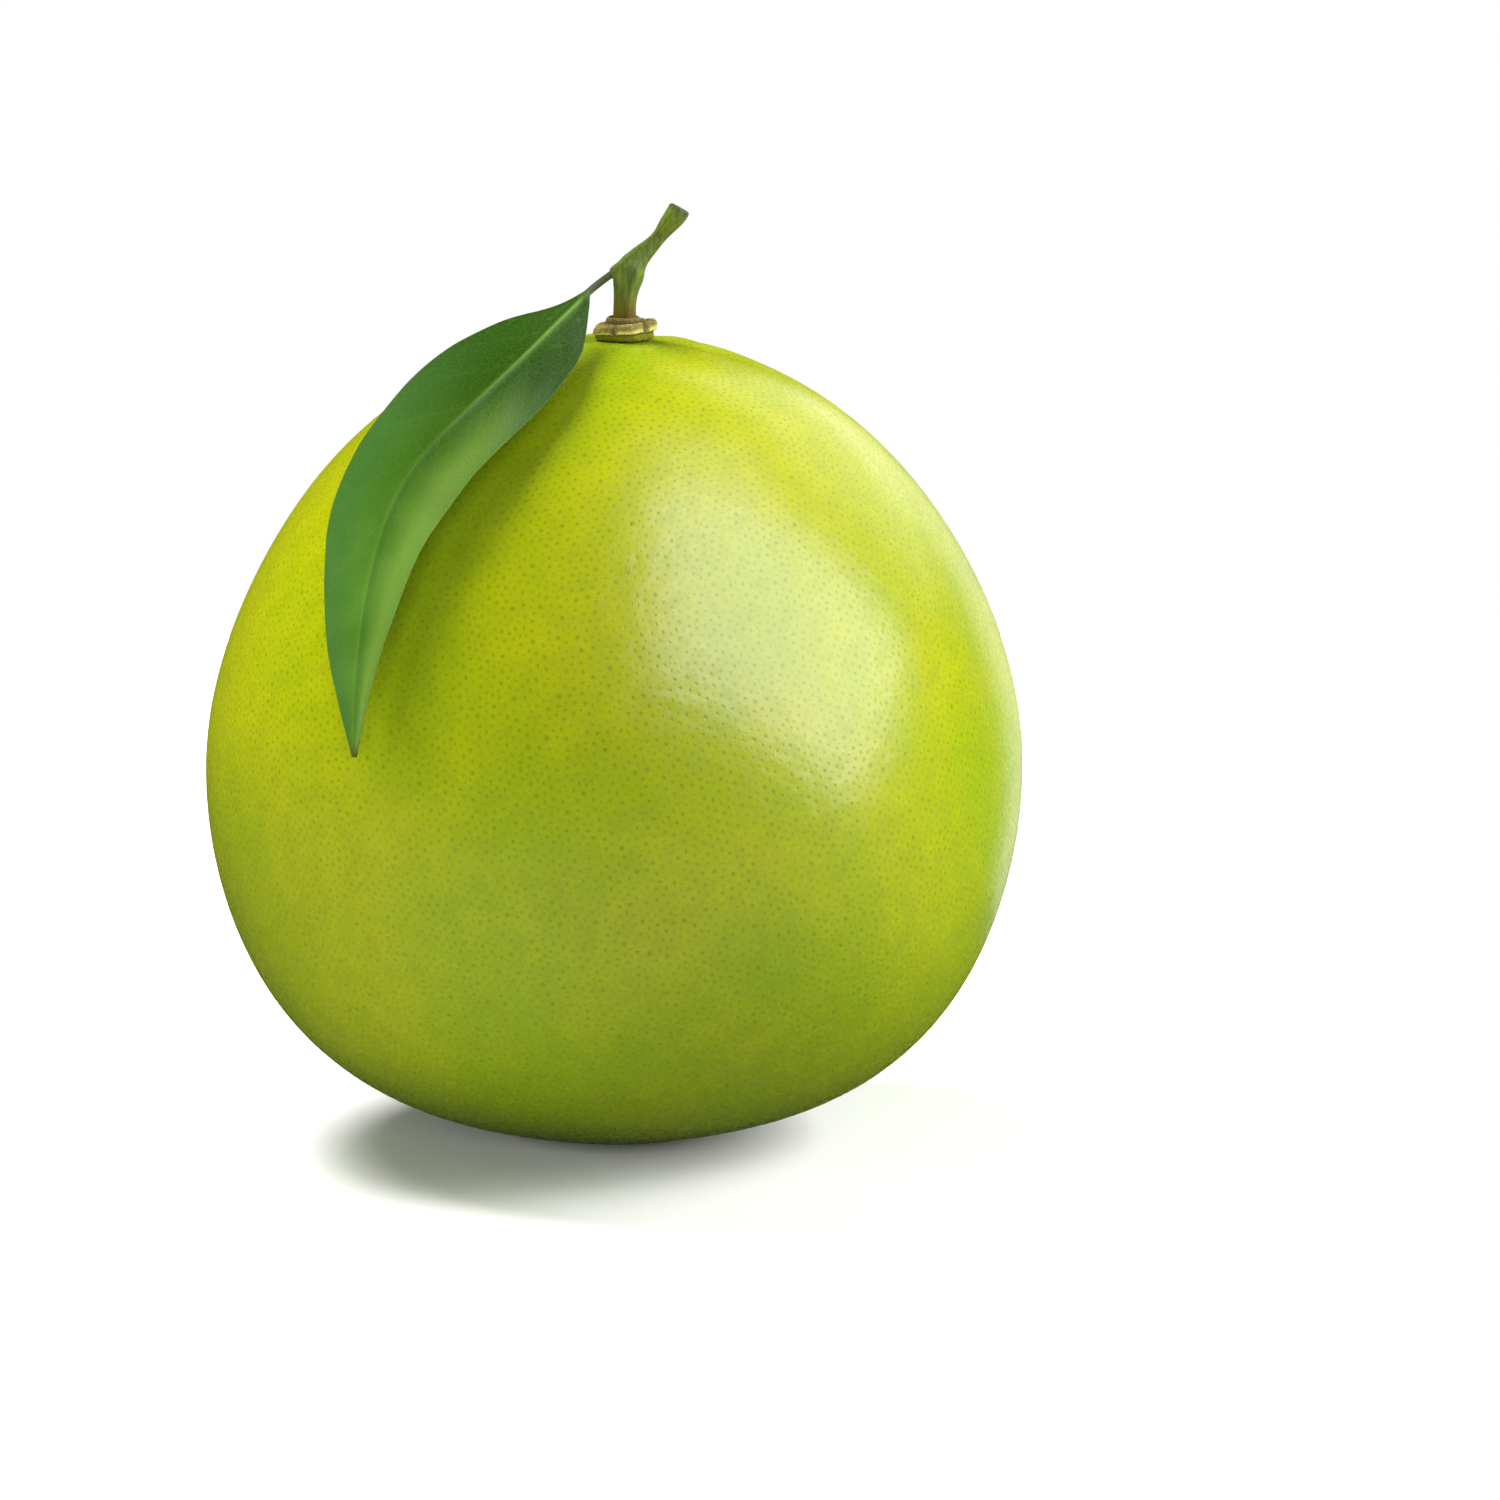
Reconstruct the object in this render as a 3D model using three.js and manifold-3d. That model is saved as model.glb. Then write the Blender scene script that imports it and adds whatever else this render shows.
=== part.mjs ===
// A pomelo as picked: the whole fruit with its calyx, a short bent twig and one leaf that hangs over the
// shoulder. Millimetres, +Z up. The origin is the middle of the small flat spot that the fruit rests on,
// the fruit's axis is Z, and the leaf hangs towards -X and -Y.

import * as THREE from "three";
import { mergeVertices } from "three/addons/utils/BufferGeometryUtils.js";
import Module from "manifold-3d";

// ---------------------------------------------------------------- driving dimensions

const GAP = 0.35; // left between pieces that grow from each other

// Fruit
const FRUIT_RADIUS = 80; // at the widest
const WIDEST_HEIGHT = 72.6; // of the widest ring above the resting spot
const SEMI_HEIGHT = 84.6; // from the widest ring to the stem end
const BASE_DROP = 11.2; // the blossom end is flatter by this
const SHOULDER_SLIM = 0.023; // share of the radius that the shoulder lacks of an ellipse
const FOOT_RADIUS = 14; // of the flat resting spot
const DIMPLE_DEPTH = 1; // the rind sinks a little under the calyx
const DIMPLE_RADIUS = 9;
const FRUIT_SEGMENTS = 60;
const FRUIT_RINGS = 42;
const RING_CROWDING = 1.25; // the rings lie closer together at the stem end
// Slow swells of the rind: [height, waves per radian, direction of travel, phase]
const SWELLS = [
  [0.3, 4.2, [0.80, 0.36, 0.48], 0.4],
  [0.22, 6.7, [-0.42, 0.84, 0.34], 1.9],
  [0.14, 10.3, [0.31, -0.52, 0.80], 4.1],
];
const SWELL_FREE = 14; // no swell within this distance of the axis, at the stem and at the foot
const SWELL_FADE = 16; // width of the band in which the swells come in
const FURROWS = 8; // faint furrows that run down from the calyx
const FURROW_UNEVEN = 1.3; // radians that their spacing strays by
const FURROW_DEPTH = 0.3;
const FURROW_AT = 16; // distance from the axis where they are deepest
const FURROW_SPREAD = 8;

// Calyx: a thick five-lobed disc, a little off the fruit's axis, higher on the side that the twig leans to
const STEM_X = 1.9;
const CALYX_RADIUS = 6;
const CALYX_TOP = 4.3; // above its underside
// Its outline from the underside round the rim: [share of the radius, height]
const CALYX_PROFILE = [
  [0.62, 0],
  [0.86, 0.25],
  [0.97, 0.8],
  [1, 1.5],
  [0.985, 2.3],
  [0.92, 3.1],
  [0.8, 3.3],
  [0.62, 3.2],
];
const CALYX_TILT = 0.05; // rise towards +X, per mm out and per mm up
const CALYX_LOBES = 5;
const LOBE_DEPTH = 0.07; // share of the radius
const CALYX_OVAL = 0.028; // share of the radius by which the disc isn't round
const SOCKET_RADIUS = 2.7; // the hollow that the twig stands in
const SOCKET_DEPTH = 1.2;
const COLLAR = 0.6; // width of the sloped collar round the socket
const CALYX_SEGMENTS = 40;

// Twig: its centre line as [x, y, height above the calyx's underside, radius]
const TWIG = [
  [0.1, 0.0, CALYX_TOP - SOCKET_DEPTH + GAP, 2.2],
  [0.2, 0.0, 4.8, 2.1],
  [0.25, 0.0, 6.5, 2.13],
  [0.5, 0.05, 9.2, 2.4],
  [0.9, 0.1, 11.6, 2.85],
  [1.6, 0.2, 13.7, 2.8],
  [3.1, 0.35, 15.8, 2.1],
  [4.9, 0.55, 17.6, 1.6],
  [6.7, 0.75, 19.5, 1.4],
  [8.6, 0.9, 21.9, 1.75],
  [10.3, 1.0, 24.1, 2.05],
  [11.1, 1.1, 25.5, 2.1],
];
const TWIG_END_ROUND = 0.5; // radius lost at the cut end
const TWIG_SIDES = 16;
const TWIG_STEPS = 28;
const STUB_SIDES = 12;
const STUB_STEPS = 4;
const LEAF_SEAT = { from: [0.9, 0, 13.4], to: [-2.2, -0.1, 12.6], radii: [2.3, 1.15] };
const BUD = { from: [1.1, 0.1, 13.9], to: [-0.9, 0.1, 14.6], radii: [1.6, 0.5] }; // in the leaf's axil

// Leaf: the line of its midrib from the twig to the tip, [x, y, z]
const RIB = [
  [-0.6, -0.1, 168.9],
  [-2.6, -0.8, 167.5],
  [-4.7, -3.6, 166],
  [-6.7, -10.2, 164.5],
  [-10, -21, 162.3],
  [-16.4, -34.6, 157.2],
  [-26.8, -45.7, 148.3],
  [-35.5, -51.7, 139.6],
  [-40.7, -55.6, 130.9],
  [-43.7, -59.5, 122.1],
  [-45.8, -63.9, 111.4],
  [-47, -68, 98.9],
  [-47.4, -70.4, 86.6],
];
const STALK_SHARE = 0.055; // share of that line that is bare stalk
const STALK_RADIUS = 0.7;
// Half widths of the blade: [share of its length, half that hangs outside, half that faces forward]
const HALF_WIDTHS = [
  [0, 0.7, 0.7],
  [0.1, 4.0, 4.1],
  [0.2, 10.0, 7.7],
  [0.3, 14.6, 9.3],
  [0.42, 15.8, 9.8],
  [0.55, 15.2, 9.9],
  [0.7, 11.8, 7.6],
  [0.85, 6.8, 4.1],
  [1, 0.45, 0.45],
];
const STALK_FLATTENS = 0.06; // share of the blade over which the stalk flattens into it
const ROLL = [[0, -18], [0.12, -21], [0.4, -17], [0.7, -9], [1, -4]]; // degrees about the midrib
const FOLD = 7; // degrees that each half droops from the midrib
const DROOP = 0.006; // and curls down, per mm, towards its edge
const EDGE_WAVE = 0.3; // height of the waves of the margin
const WAVES = 4.5; // along the leaf
const WAVE_TURNS = [2.6, 0.9]; // where along a wave each half begins, outside and front
const BLADE_THICKNESS = 0.7;
const RIB_THICKNESS = 1.3; // at the base, below the blade
const RIB_TAPER = 0.75; // share of it that is lost by the tip
const RIB_WIDTH = 1.1;
const VEIN_PAIRS = 9;
const VEIN_HEIGHT = 0.16;
const RELIEF_FROM = 2; // half width where veins and waves begin
const RELIEF_FULL = 9; // and where they have their full height
const VEIN_SLANT = 0.13; // share of the length that a vein gains on its way to the margin
const LEAF_STEPS = 50;
const LEAF_STRIPS = 14; // across, an even number

const COLOURS = {
  rind: { color: 0xa9bf1c, roughness: 0.38, metalness: 0 },
  calyx: { color: 0x9a8f3c, roughness: 0.7, metalness: 0 },
  twig: { color: 0x64782f, roughness: 0.6, metalness: 0 },
  leaf: { color: 0x3a7a22, roughness: 0.35, metalness: 0 },
};

const wasm = await Module();
wasm.setup();

// ---------------------------------------------------------------- helpers

const clamp = THREE.MathUtils.clamp;
const smooth = (x, from, to) => THREE.MathUtils.smoothstep(x, from, to);

// The share of a line's length that is behind each of its points.
function sharesAlong(points) {
  let run = 0;
  const runs = points.map((p, i) => (run += i ? p.distanceTo(points[i - 1]) : 0));
  return runs.map((behind) => behind / run);
}

// The value at x of a smooth line through rows that start with x, read from their given column.
function along(rows, x, column = 1) {
  const last = rows.length - 1;
  const end = clamp(rows.findIndex(([at]) => at >= x), 1, last);
  const [from, to] = [rows[end - 1], rows[end]];
  const slopeAt = (k) => {
    const [before, after] = [rows[Math.max(k - 1, 0)], rows[Math.min(k + 1, last)]];
    return (after[column] - before[column]) / (after[0] - before[0]);
  };
  const span = to[0] - from[0];
  const t = clamp((x - from[0]) / span, 0, 1);
  const bend = from[column] - to[column];
  const [leaving, arriving] = [slopeAt(end - 1) * span + bend, -slopeAt(end) * span - bend];
  return from[column] - bend * t + t * (1 - t) * ((1 - t) * leaving + t * arriving);
}

function geometryOf(points, triangles) {
  const flat = points.flatMap((p) => [p.x, p.y, p.z]);
  const geometry = new THREE.BufferGeometry();
  geometry.setAttribute("position", new THREE.Float32BufferAttribute(flat, 3));
  geometry.setIndex(triangles);
  geometry.computeVertexNormals();
  return geometry;
}

// A closed tube through rings of points, each ring counter-clockwise seen from the far end.
function tube(rings) {
  const sides = rings[0].length;
  const middle = (ring) => ring.reduce((sum, p) => sum.add(p), new THREE.Vector3()).divideScalar(sides);
  const points = [...rings.flat(), middle(rings[0]), middle(rings.at(-1))];
  const [first, last] = [points.length - 2, points.length - 1];
  const triangles = [];
  for (let j = 0; j < sides; j++) {
    const k = (j + 1) % sides;
    for (let i = 0; i + 1 < rings.length; i++) {
      const [a, b, c, d] = [i * sides + j, i * sides + k, (i + 1) * sides + k, (i + 1) * sides + j];
      triangles.push(a, b, c, a, c, d);
    }
    const end = (rings.length - 1) * sides;
    triangles.push(first, k, j, last, end + j, end + k);
  }
  return geometryOf(points, triangles);
}

// A round tube along a curve, with its radius from a function of the share of the way along.
function taperedTube(curve, radiusAt, steps, sides) {
  const { normals, binormals } = curve.computeFrenetFrames(steps);
  const rings = Array.from({ length: steps + 1 }, (_, i) => {
    const centre = curve.getPointAt(i / steps);
    return Array.from({ length: sides }, (_, j) => {
      const angle = (2 * Math.PI * j) / sides;
      return centre
        .clone()
        .addScaledVector(normals[i], Math.cos(angle) * radiusAt(i / steps))
        .addScaledVector(binormals[i], Math.sin(angle) * radiusAt(i / steps));
    });
  });
  return tube(rings);
}

// A closed slab between two grids of points, both split along the same diagonals. Seen from above with
// the rows running away from the eye, the columns run from right to left.
function slab(upper, lower) {
  const [rows, columns] = [upper.length, upper[0].length];
  const under = rows * columns;
  const at = (i, j) => i * columns + j;
  const triangles = [];
  const quad = (a, b, c, d) => triangles.push(a, b, c, a, c, d);
  for (let i = 0; i + 1 < rows; i++) {
    for (let j = 0; j + 1 < columns; j++) {
      const [a, b, c, d] = [at(i, j), at(i, j + 1), at(i + 1, j + 1), at(i + 1, j)];
      quad(a, d, c, b);
      quad(under + a, under + b, under + c, under + d);
    }
    const [right, nextRight] = [at(i, 0), at(i + 1, 0)];
    const [left, nextLeft] = [at(i, columns - 1), at(i + 1, columns - 1)];
    quad(right, under + right, under + nextRight, nextRight);
    quad(left, nextLeft, under + nextLeft, under + left);
  }
  for (let j = 0; j + 1 < columns; j++) {
    const [near, nextNear] = [at(0, j), at(0, j + 1)];
    const [far, nextFar] = [at(rows - 1, j), at(rows - 1, j + 1)];
    quad(near, nextNear, under + nextNear, under + near);
    quad(far, under + far, under + nextFar, nextFar);
  }
  return geometryOf([...upper.flat(), ...lower.flat()], triangles);
}

function solidOf(geometry) {
  const bare = geometry.clone();
  bare.deleteAttribute("normal");
  bare.deleteAttribute("uv");
  const merged = mergeVertices(bare, 1e-4);
  const vertProperties = merged.attributes.position.array;
  const triVerts = new Uint32Array(merged.index.array);
  return new wasm.Manifold(new wasm.Mesh({ numProp: 3, vertProperties, triVerts }));
}

function fused(geometries) {
  const { vertProperties, triVerts } = geometries
    .map(solidOf)
    .reduce((whole, next) => whole.add(next))
    .getMesh();
  const geometry = new THREE.BufferGeometry();
  geometry.setAttribute("position", new THREE.BufferAttribute(vertProperties, 3));
  geometry.setIndex(new THREE.BufferAttribute(triVerts, 1));
  geometry.computeVertexNormals();
  return geometry;
}

function piece(name, geometry, finish) {
  const mesh = new THREE.Mesh(geometry, new THREE.MeshStandardMaterial(finish));
  mesh.name = name;
  return mesh;
}

// ---------------------------------------------------------------- fruit

// Distance from the axis and height above the widest ring, at an angle down from the stem end.
function meridian(angle) {
  const [sine, cosine] = [Math.sin(angle), Math.cos(angle)];
  const slim = cosine > 0 ? SHOULDER_SLIM * Math.sin(2 * angle) ** 2 : 0;
  const drop = cosine < 0 ? BASE_DROP * cosine ** 2 : 0;
  return [FRUIT_RADIUS * sine * (1 - slim), (SEMI_HEIGHT - drop) * cosine];
}

// How far the rind stands out at a point of the plain body, from its swells, its furrows and its dimple.
function relief(x, y, z) {
  const fromAxis = Math.hypot(x, y);
  const length = Math.hypot(fromAxis, z);
  const swell = SWELLS.reduce((sum, [height, waves, [dx, dy, dz], phase]) => {
    const travel = (x * dx + y * dy + z * dz) / length;
    return sum + height * Math.sin(waves * travel + phase);
  }, 0);
  const fade = smooth(fromAxis, SWELL_FREE, SWELL_FREE + SWELL_FADE);
  if (z < 0) return fade * swell;
  const around = Math.atan2(y, x - STEM_X);
  const uneven = Math.sin(FURROWS * around + FURROW_UNEVEN * Math.sin(2 * around));
  const fromStem = Math.hypot(x - STEM_X, y);
  const furrow = FURROW_DEPTH * uneven * Math.exp(-(((fromStem - FURROW_AT) / FURROW_SPREAD) ** 2));
  const dimple = DIMPLE_DEPTH * Math.exp(-((fromStem / DIMPLE_RADIUS) ** 2));
  return fade * swell + smooth(fromStem, CALYX_RADIUS, FURROW_AT) * furrow - dimple;
}

function fruitGeometry() {
  const footAngle = Math.PI - Math.asin(FOOT_RADIUS / FRUIT_RADIUS);
  const profile = [[0, -WIDEST_HEIGHT], [FOOT_RADIUS, -WIDEST_HEIGHT]];
  for (let i = FRUIT_RINGS - 1; i >= 0; i--) {
    profile.push(meridian(footAngle * (i / FRUIT_RINGS) ** RING_CROWDING));
  }
  const points = profile.map(([radius, height]) => new THREE.Vector2(radius, height));
  const geometry = new THREE.LatheGeometry(points, FRUIT_SEGMENTS).rotateX(Math.PI / 2);
  const positions = geometry.attributes.position;
  for (let i = 0; i < positions.count; i++) {
    const point = new THREE.Vector3().fromBufferAttribute(positions, i);
    const onFoot = point.z < 1e-3 - WIDEST_HEIGHT;
    const out = onFoot ? 0 : relief(point.x, point.y, point.z);
    point.addScaledVector(point.clone().normalize(), out);
    positions.setXYZ(i, ...point.toArray());
  }
  geometry.translate(0, 0, WIDEST_HEIGHT).computeVertexNormals();
  return geometry;
}

// ---------------------------------------------------------------- calyx and twig

const CALYX_UNDERSIDE = WIDEST_HEIGHT + SEMI_HEIGHT - DIMPLE_DEPTH + GAP;

function calyxGeometry() {
  const profile = [
    [0, 0],
    ...CALYX_PROFILE.map(([share, height]) => [share * CALYX_RADIUS, height]),
    [SOCKET_RADIUS + COLLAR, CALYX_TOP - COLLAR / 2],
    [SOCKET_RADIUS + COLLAR / 4, CALYX_TOP],
    [SOCKET_RADIUS, CALYX_TOP - SOCKET_DEPTH],
    [0, CALYX_TOP - SOCKET_DEPTH],
  ].map(([radius, height]) => new THREE.Vector2(radius, height));
  const geometry = new THREE.LatheGeometry(profile, CALYX_SEGMENTS).rotateX(Math.PI / 2);
  const positions = geometry.attributes.position;
  for (let i = 0; i < positions.count; i++) {
    const [x, y, z] = [positions.getX(i), positions.getY(i), positions.getZ(i)];
    const around = Math.atan2(y, x);
    const outer = smooth(Math.hypot(x, y), SOCKET_RADIUS + COLLAR, CALYX_RADIUS);
    const lobe = LOBE_DEPTH * Math.cos(CALYX_LOBES * around + 0.5) + CALYX_OVAL * Math.cos(2 * around + 1);
    const grow = 1 + outer * lobe;
    positions.setXYZ(i, x * grow, y * grow, z + outer * CALYX_TILT * x * z);
  }
  geometry.translate(STEM_X, 0, CALYX_UNDERSIDE).computeVertexNormals();
  return geometry;
}

const onCalyx = ([x, y, z]) => new THREE.Vector3(STEM_X + x, y, CALYX_UNDERSIDE + z);

function stub({ from, to, radii: [wide, narrow] }) {
  const curve = new THREE.LineCurve3(onCalyx(from), onCalyx(to));
  const radiusAt = (share) => THREE.MathUtils.lerp(wide, narrow, share ** 1.5);
  return taperedTube(curve, radiusAt, STUB_STEPS, STUB_SIDES);
}

function twigGeometry() {
  const points = TWIG.map(onCalyx);
  const curve = new THREE.CatmullRomCurve3(points, false, "centripetal");
  const length = curve.getLength();
  const radii = sharesAlong(points).map((share, i) => [share, TWIG[i][3]]);
  const radiusAt = (share) => {
    const left = (1 - share) * length;
    const rounding = Math.max(0, 1 - left / TWIG_END_ROUND) * TWIG_END_ROUND;
    return along(radii, share) - rounding;
  };
  return fused([taperedTube(curve, radiusAt, TWIG_STEPS, TWIG_SIDES), stub(LEAF_SEAT), stub(BUD)]);
}

// ---------------------------------------------------------------- leaf

const bladeShare = (share) => clamp((share - STALK_SHARE) / (1 - STALK_SHARE), 0, 1);

// Half width at a share of the whole line, on the outside (side < 0) or the front (side > 0).
const halfWidth = (share, side) => along(HALF_WIDTHS, bladeShare(share), side > 0 ? 2 : 1);

// Axes at a point of the midrib: across to the front side, and away from the fruit, rolled.
function ribAxes(centre, tangent, share) {
  const out = centre.clone().sub(new THREE.Vector3(0, 0, WIDEST_HEIGHT)).normalize();
  const across = new THREE.Vector3().crossVectors(out, tangent).normalize();
  const up = new THREE.Vector3().crossVectors(tangent, across);
  const roll = THREE.MathUtils.degToRad(along(ROLL, bladeShare(share)));
  return {
    across: across.clone().multiplyScalar(Math.cos(roll)).addScaledVector(up, Math.sin(roll)),
    up: up.clone().multiplyScalar(Math.cos(roll)).addScaledVector(across, -Math.sin(roll)),
  };
}

// How high the blade's middle surface lies over the plane of the rib's axes, at u half widths from it.
function lieOf(s, u, width) {
  const reach = Math.abs(u) * width;
  const shown = smooth(width, RELIEF_FROM, RELIEF_FULL);
  const wave = EDGE_WAVE * u * u * Math.sin(2 * Math.PI * WAVES * s + WAVE_TURNS[u > 0 ? 1 : 0]);
  const veins = Math.cos(2 * Math.PI * VEIN_PAIRS * (s - VEIN_SLANT * Math.abs(u)));
  const quilt = VEIN_HEIGHT * veins * Math.sin(Math.PI * Math.abs(u));
  const fold = Math.tan(THREE.MathUtils.degToRad(FOLD)) * reach;
  return shown * (quilt + wave) - fold - DROOP * reach * reach;
}

function leafGeometry() {
  const curve = new THREE.CatmullRomCurve3(RIB.map((p) => new THREE.Vector3(...p)), false, "centripetal");
  const upper = [];
  const lower = [];
  for (let i = 0; i <= LEAF_STEPS; i++) {
    const share = i / LEAF_STEPS;
    const s = bladeShare(share);
    const flat = smooth(s, 0, STALK_FLATTENS);
    const centre = curve.getPointAt(share);
    const { across, up } = ribAxes(centre, curve.getTangentAt(share), share);
    const [above, below] = [[], []];
    for (let j = 0; j <= LEAF_STRIPS; j++) {
      const u = (2 * j) / LEAF_STRIPS - 1;
      const width = halfWidth(share, u);
      const rib = RIB_THICKNESS * (1 - RIB_TAPER * s) * Math.exp(-(((u * width) / RIB_WIDTH) ** 2));
      const round = Math.max(0.2, Math.sqrt(1 - u * u)) * STALK_RADIUS;
      const top = THREE.MathUtils.lerp(round, BLADE_THICKNESS / 2, flat);
      const bottom = THREE.MathUtils.lerp(round, BLADE_THICKNESS / 2 + rib, flat);
      const middle = centre.clone().addScaledVector(across, u * width);
      middle.addScaledVector(up, flat * lieOf(s, u, width));
      above.push(middle.clone().addScaledVector(up, top));
      below.push(middle.clone().addScaledVector(up, -bottom));
    }
    upper.push(above);
    lower.push(below);
  }
  return slab(upper, lower);
}

// ---------------------------------------------------------------- the whole

const pomelo = new THREE.Group();
pomelo.add(piece("fruit", fruitGeometry(), COLOURS.rind));
pomelo.add(piece("calyx", calyxGeometry(), COLOURS.calyx));
pomelo.add(piece("twig", twigGeometry(), COLOURS.twig));
pomelo.add(piece("leaf", leafGeometry(), COLOURS.leaf));

export default pomelo;
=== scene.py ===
"""The looks of a pomelo with its calyx, twig and leaf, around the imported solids.

Lengths are named in millimetres, as in the part's own source, and turned to metres where a mesh is made.
+Z is up, the fruit's axis is Z, and the leaf hangs towards -X and -Y.
"""

import math

import bpy
import numpy as np
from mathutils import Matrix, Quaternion, Vector
from mathutils.geometry import delaunay_2d_cdt


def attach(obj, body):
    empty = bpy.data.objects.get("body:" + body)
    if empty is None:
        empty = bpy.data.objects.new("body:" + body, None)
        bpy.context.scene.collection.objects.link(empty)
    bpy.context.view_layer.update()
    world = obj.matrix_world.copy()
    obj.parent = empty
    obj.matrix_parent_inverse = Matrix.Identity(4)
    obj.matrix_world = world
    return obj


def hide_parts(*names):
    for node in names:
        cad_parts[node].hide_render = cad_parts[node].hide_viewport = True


MM = 0.001  # metres in a millimetre

# ---------------------------------------------------------------- the form, as the solids have it

GAP = 0.35

FRUIT_RADIUS = 80
WIDEST_HEIGHT = 72.6
SEMI_HEIGHT = 84.6
BASE_DROP = 11.2
SHOULDER_SLIM = 0.023
DIMPLE_DEPTH = 1
DIMPLE_RADIUS = 9
SWELLS = [
    [0.3, 4.2, [0.80, 0.36, 0.48], 0.4],
    [0.22, 6.7, [-0.42, 0.84, 0.34], 1.9],
    [0.14, 10.3, [0.31, -0.52, 0.80], 4.1],
]
SWELL_FREE = 14
SWELL_FADE = 16
FURROWS = 8
FURROW_UNEVEN = 1.3
FURROW_DEPTH = 0.3
FURROW_AT = 16
FURROW_SPREAD = 8

STEM_X = 1.9
CALYX_RADIUS = 6
CALYX_TOP = 4.3
CALYX_TILT = 0.05
CALYX_LOBES = 5
LOBE_DEPTH = 0.07
CALYX_OVAL = 0.028
SOCKET_RADIUS = 2.7
SOCKET_DEPTH = 1.2
COLLAR = 0.6
CALYX_UNDERSIDE = WIDEST_HEIGHT + SEMI_HEIGHT - DIMPLE_DEPTH + GAP

TWIG = [
    [0.1, 0.0, CALYX_TOP - SOCKET_DEPTH + GAP, 2.2],
    [0.2, 0.0, 4.8, 2.1],
    [0.25, 0.0, 6.5, 2.13],
    [0.5, 0.05, 9.2, 2.4],
    [0.9, 0.1, 11.6, 2.85],
    [1.6, 0.2, 13.7, 2.8],
    [3.1, 0.35, 15.8, 2.1],
    [4.9, 0.55, 17.6, 1.6],
    [6.7, 0.75, 19.5, 1.4],
    [8.6, 0.9, 21.9, 1.75],
    [10.3, 1.0, 24.1, 2.05],
    [11.1, 1.1, 25.5, 2.1],
]
TWIG_END_ROUND = 0.5
LEAF_SEAT = {"from": [0.9, 0, 13.4], "to": [-2.2, -0.1, 12.6], "radii": [2.3, 1.15]}
BUD = {"from": [1.1, 0.1, 13.9], "to": [-0.9, 0.1, 14.6], "radii": [1.6, 0.5]}

RIB = [
    [-0.6, -0.1, 168.9],
    [-2.6, -0.8, 167.5],
    [-4.7, -3.6, 166],
    [-6.7, -10.2, 164.5],
    [-10, -21, 162.3],
    [-16.4, -34.6, 157.2],
    [-26.8, -45.7, 148.3],
    [-35.5, -51.7, 139.6],
    [-40.7, -55.6, 130.9],
    [-43.7, -59.5, 122.1],
    [-45.8, -63.9, 111.4],
    [-47, -68, 98.9],
    [-47.4, -70.4, 86.6],
]
STALK_SHARE = 0.055
STALK_RADIUS = 0.7
HALF_WIDTHS = [
    [0, 0.7, 0.7],
    [0.1, 4.0, 4.1],
    [0.2, 10.0, 7.7],
    [0.3, 14.6, 9.3],
    [0.42, 15.8, 9.8],
    [0.55, 15.2, 9.9],
    [0.7, 11.8, 7.6],
    [0.85, 6.8, 4.1],
    [1, 0.45, 0.45],
]
STALK_FLATTENS = 0.06
ROLL = [[0, -18], [0.12, -21], [0.4, -17], [0.7, -9], [1, -4]]
FOLD = 7
DROOP = 0.006
EDGE_WAVE = 0.3
WAVES = 4.5
WAVE_TURNS = [2.6, 0.9]
BLADE_THICKNESS = 0.7
RIB_THICKNESS = 1.3
RIB_TAPER = 0.75
RIB_WIDTH = 1.1
VEIN_PAIRS = 9
VEIN_HEIGHT = 0.16
RELIEF_FROM = 2
RELIEF_FULL = 9
VEIN_SLANT = 0.13

# ---------------------------------------------------------------- what the looks add

SEED = 11

PORES = 32400  # oil glands over the whole rind, each a shallow pit
PORE_SPACING = math.sqrt(4 * math.pi / PORES)  # as seen from the fruit's middle, in radians
PORE_STRAY = 0.36  # most that they stray along each axis, as a share of their spacing
PORE_DEPTHS = [0.05, 0.13]
PORE_FREE = 5.5  # no pits within this distance of the stem's axis, under the calyx
RIPEST = [-0.12, -0.1, 0.98]  # the rind is yellowest on this side
LEAF_SHADOW_AT = [5, -3, -8]  # painted shadow: the rind is painted greener and darker where the leaf's shadow falls, round a line this far from the leaf's midrib
PAINTED_SHADOW_REACH = [6, 19]
SKIN_UNDER = 0.06  # the rims of the pits lie this far inside the solid's own surface
SCAR_RADIUS = 2.4  # of the scar that the flower left, in the middle of the resting spot
SCAR_SIDES = 24
SCAR_STEPS = [[2.4, 0.05], [2.0, 0.35], [1.5, 0.55], [1.0, 0.35], [0.5, 0.5]]  # radius, height

CALYX_SIDES = 180
CALYX_RINGS = 90

TWIG_VOXEL = 0.13
TWIG_SIDES = 40
TWIG_STEPS = 90

STALK_SUNK = 0.8  # how far the stalk's end is buried in its seat
LEAF_STEPS = 250
LEAF_STRIPS = 72

FRUIT_PX = 5.1125  # pixels per millimetre of the 1500 px frame at the fruit's middle
FRUIT_AT_PX = [615, 765]  # where the middle of its widest ring is seen
FRAME_PX = 1500
CAMERA_FAR = 1500  # from the camera's plane to that middle
CAMERA_DOWN = 10  # degrees that the camera looks down
SENSOR = 36

FLOOR_RADIUS = 0.62  # metres
FLOOR_SIDES = 96
ROOM_LIGHT = 0.025
DAYLIGHT = [0.84, 0.84, 1]


# ---------------------------------------------------------------- helpers for shapes


def smooth(x, low, high):
    share = np.clip((np.asarray(x, float) - low) / (high - low), 0, 1)
    return share * share * (3 - 2 * share)


def lerp(low, high, share):
    return low + (high - low) * share


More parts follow.
